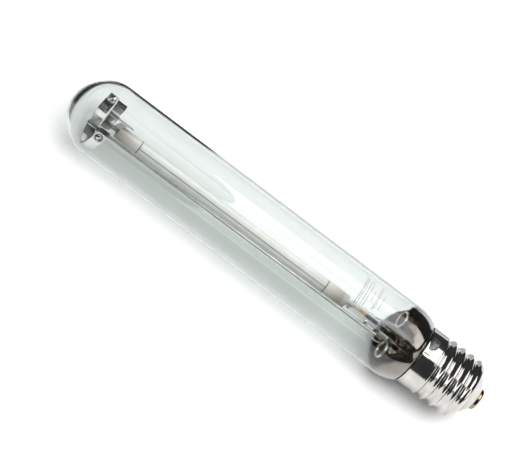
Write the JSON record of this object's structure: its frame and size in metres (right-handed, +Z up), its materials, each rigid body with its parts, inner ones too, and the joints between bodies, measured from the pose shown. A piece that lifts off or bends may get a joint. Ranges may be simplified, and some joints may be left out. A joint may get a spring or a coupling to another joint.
{
  "type": "tubular sodium grow lamp",
  "caption": "Clear tubular high-pressure sodium grow lamp with a ceramic arc tube on a wire frame, a domed end and an E40 screw cap.",
  "frame": {"origin": "middle of the centre contact's flat end, on the lamp's axis", "axes": "+X along the lamp's axis out of the cap's tip, the dome towards -X; +Z up, square to the axis; the lamp lies level"},
  "size_m": [0.298, 0.047, 0.047],
  "materials": {
    "clear_glass": "clear borosilicate, polished, faint grey-green tint",
    "nickel_plate": "bright nickel plate with fine handling marks",
    "insulator": "grey-white glazed insulator, satin",
    "contact_brass": "bright brass, lightly tarnished",
    "cement": "fired basing cement, chalky",
    "solder": "dull lumpy solder",
    "lead_wire": "drawn copper wire",
    "coppered_lead": "copper-clad rod, bright",
    "bright_steel": "bright drawn nickel-plated steel",
    "spring_steel": "polished spring strip",
    "bracket_steel": "rolled nickel-plated strip",
    "sleeve": "dark glazed ceramic sleeve",
    "arc_ceramic": "translucent white alumina, satin",
    "end_plug": "sintered alumina with grey-brown staining",
    "niobium": "grey drawn niobium",
    "tungsten": "dark tungsten",
    "track": "dark sintered conductor",
    "getter": "fired getter ring, dull with heat tint"
  },
  "bodies": {
    "root": {"arc_tube": "arc_ceramic", "arc_tube_lead": "coppered_lead", "basing_cement": "cement", "bracket_arm": "bracket_steel", "cap_insulator": "insulator", "cap_side_strap": "bright_steel", "centre_contact": "contact_brass", "centre_contact_lead": "lead_wire", "dome_bracket": "bracket_steel", "dome_flex_lead": "bright_steel", "dome_spring": "spring_steel", "electrode_cap_side": "tungsten", "electrode_dome_side": "tungsten", "end_plug_cap_side": "end_plug", "end_plug_dome_side": "end_plug", "exhaust_tube": "clear_glass", "frame_lead": "bright_steel", "frame_link": "bright_steel", "frame_rod": "bright_steel", "getter_ring_front": "getter", "getter_ring_rear": "getter", "getter_wire_front": "bright_steel", "getter_wire_rear": "bright_steel", "ignition_antenna": "track", "lead_sleeve": "sleeve", "niobium_tube_cap_side": "niobium", "niobium_tube_dome_side": "niobium", "outer_bulb": "clear_glass", "screw_shell": "nickel_plate", "side_contact_lead": "lead_wire", "side_solder": "solder", "spring_strap": "spring_steel", "stem_glass": "clear_glass", "support_clip": "bracket_steel"}
  },
  "joints": []
}
